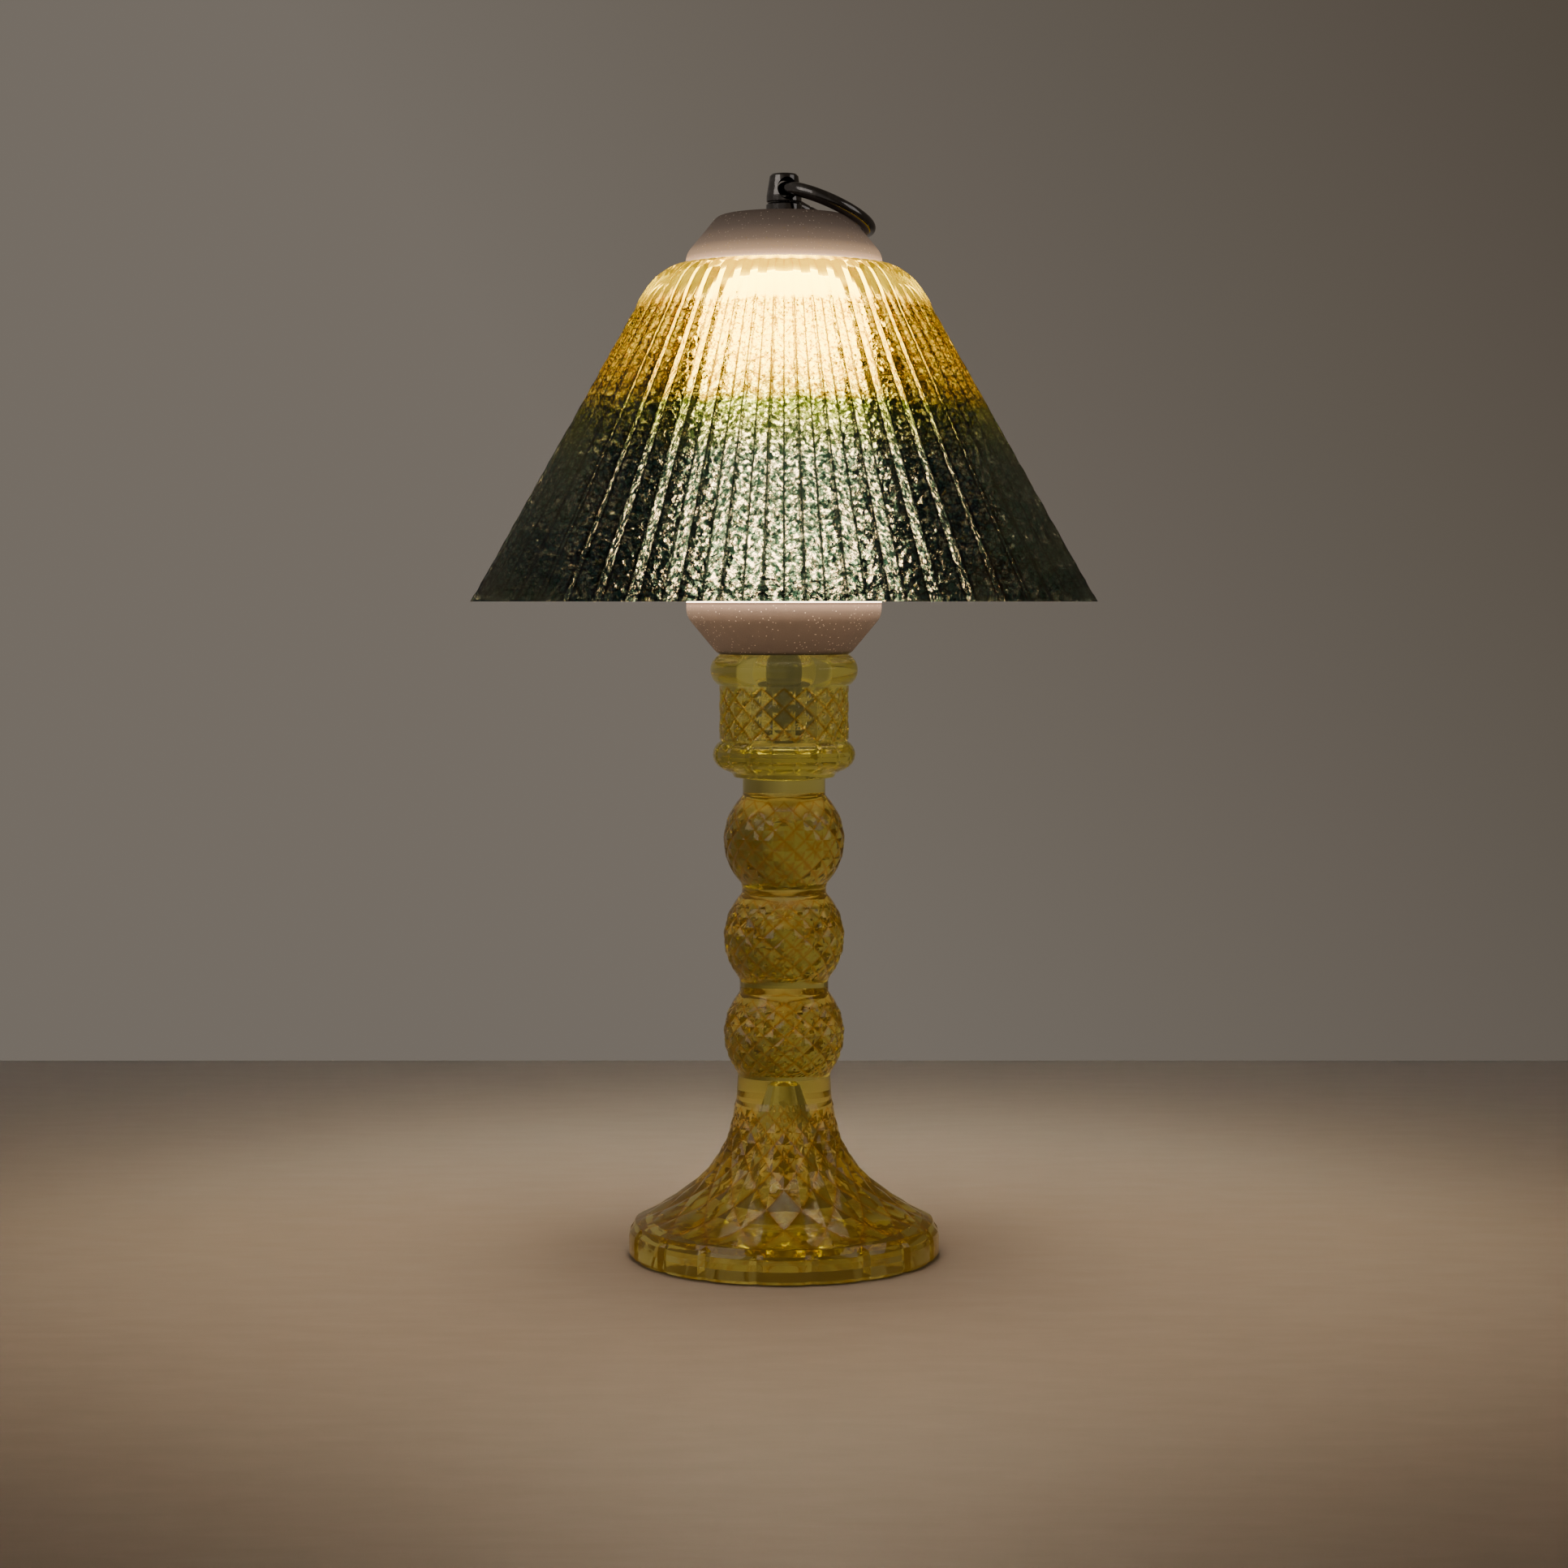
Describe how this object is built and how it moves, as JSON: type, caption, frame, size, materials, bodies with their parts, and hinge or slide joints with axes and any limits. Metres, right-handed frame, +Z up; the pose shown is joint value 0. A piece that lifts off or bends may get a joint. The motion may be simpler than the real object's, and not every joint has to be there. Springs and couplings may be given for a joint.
{
  "type": "miniature table lamp",
  "caption": "Miniature table lamp: a cut-glass style candlestick holding a frosted battery light under a pleated amber and green shade, with a hang ring on top.",
  "frame": {"origin": "centre of the foot's underside, on the surface the lamp stands on", "axes": "+Z up the lamp's axis, -Y towards the front, +X to the right as seen from the front"},
  "size_m": [0.0768, 0.0768, 0.1329],
  "materials": {
    "amber_glass": "clear amber, pressed and polished",
    "frosted_plastic": "frosted, sparkling grain",
    "shade_plastic": "translucent, amber above and bottle green below",
    "rubber": "translucent silicone",
    "dark_chrome": "dark polished plating",
    "black_plastic": "moulded",
    "board": "solder mask",
    "cell_steel": "nickel plated",
    "contact_metal": "bright",
    "led": "phosphor"
  },
  "bodies": {
    "stick": {"candlestick": "amber_glass"},
    "light": {"capsule_shell": "frosted_plastic", "capsule_cap": "frosted_plastic", "shade_seat_ring": "rubber", "spigot": "dark_chrome", "tact_switch": "black_plastic", "control_board": "board", "cell_holder": "black_plastic", "coin_cell": "cell_steel", "negative_contact": "contact_metal", "positive_clip": "contact_metal", "lead_wire_positive": "contact_metal", "lead_wire_negative": "contact_metal", "led_board": "board", "leds": "led", "driver_components": "black_plastic", "swivel_base": "dark_chrome", "swivel_washer": "cell_steel", "swivel_nut": "cell_steel"},
    "plunger": {"switch_plunger": "black_plastic", "switch_stem": "black_plastic"},
    "shade": {"shade": "shade_plastic"},
    "eye": {"swivel_head": "dark_chrome", "swivel_pin": "dark_chrome"},
    "ring": {"hang_ring": "dark_chrome"}
  },
  "joints": [
    {"name": "lamp_lift", "type": "slide", "parent": "stick", "child": "light", "axis": [0, 0, 1], "range_m": [0, 0.012]},
    {"name": "shade_lift", "type": "slide", "parent": "light", "child": "shade", "axis": [0, 0, 1], "range_m": [0, 0.053]},
    {"name": "switch_press", "type": "slide", "parent": "light", "child": "plunger", "axis": [0, 0, 1], "range_m": [0, 0.0003], "stiffness_N_per_m": 800, "springref_m": -0.0005},
    {"name": "head_swivel", "type": "hinge", "parent": "light", "child": "eye", "pos_m": [0, 0, 0.1294], "axis": [0, 0, 1], "continuous": true},
    {"name": "ring_tilt", "type": "hinge", "parent": "eye", "child": "ring", "pos_m": [0, 0, 0.1311], "axis": [0.2419, -0.9703, 0], "range_deg": [0, 226]}
  ]
}
